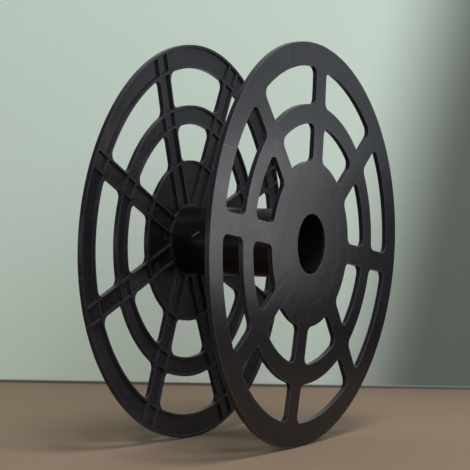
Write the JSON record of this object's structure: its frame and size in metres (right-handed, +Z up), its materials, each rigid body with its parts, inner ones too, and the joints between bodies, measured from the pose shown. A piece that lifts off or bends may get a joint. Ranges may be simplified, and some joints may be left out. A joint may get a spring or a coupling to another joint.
{
  "type": "storage reel",
  "caption": "Storage reel with spoked and ribbed round flanges on a hollow core tube, for winding a light string or cord.",
  "frame": {"origin": "middle of the core tube on the reel's axis", "axes": "+Y along the reel's axis from the front flange to the back flange, +Z up as the reel stands on its rims"},
  "size_m": [0.36, 0.13, 0.36],
  "materials": {
    "flange_plastic": "satin black moulded plastic",
    "core_plastic": "smooth black plastic tube"
  },
  "bodies": {
    "root": {"flange_front": "flange_plastic", "flange_back": "flange_plastic", "core_tube": "core_plastic"}
  },
  "joints": []
}
